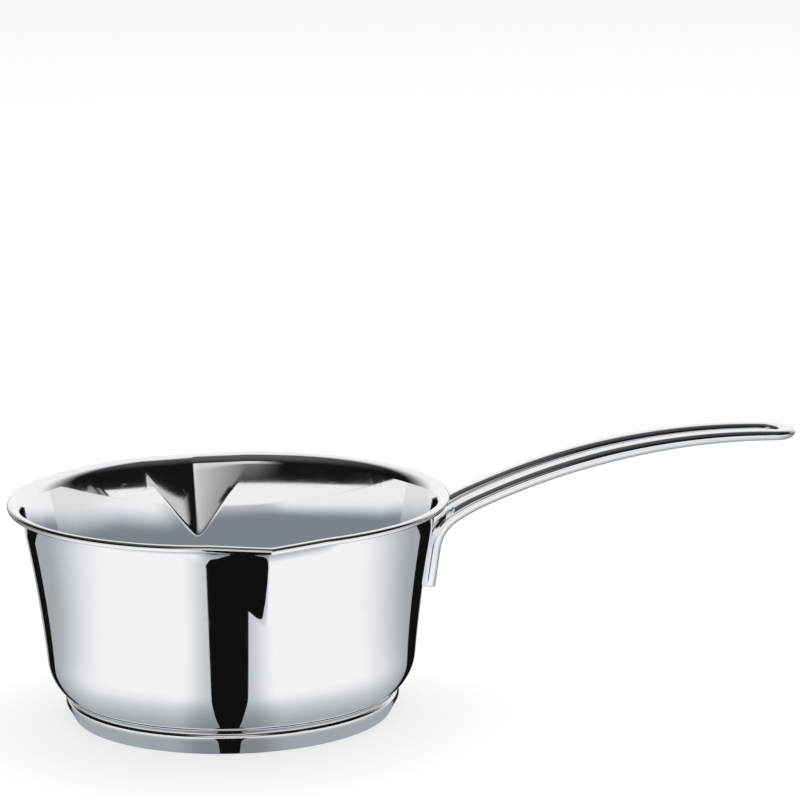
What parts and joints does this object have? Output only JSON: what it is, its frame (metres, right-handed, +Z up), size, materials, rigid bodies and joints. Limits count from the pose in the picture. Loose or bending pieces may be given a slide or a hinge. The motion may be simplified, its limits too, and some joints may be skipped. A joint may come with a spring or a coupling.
{
  "type": "milk pan",
  "caption": "Flared polished steel milk pan with two pressed pouring lips, rolled rim, sealed aluminium-core base and a bent rod loop handle.",
  "frame": {"origin": "centre of the base on the table", "axes": "+Z up, +X along the handle away from the pan, +Y and -Y towards the two pouring lips"},
  "size_m": [0.3175, 0.178, 0.1021],
  "materials": {
    "vessel_steel": "mirror polished",
    "cap_steel": "polished",
    "core_aluminium": "as pressed",
    "handle_steel": "mirror polished",
    "weld_steel": "as welded"
  },
  "bodies": {
    "root": {"pan_body": "vessel_steel", "base_cap": "cap_steel", "core_disc": "core_aluminium", "handle_loop": "handle_steel", "weld_nuggets": "weld_steel"}
  },
  "joints": []
}
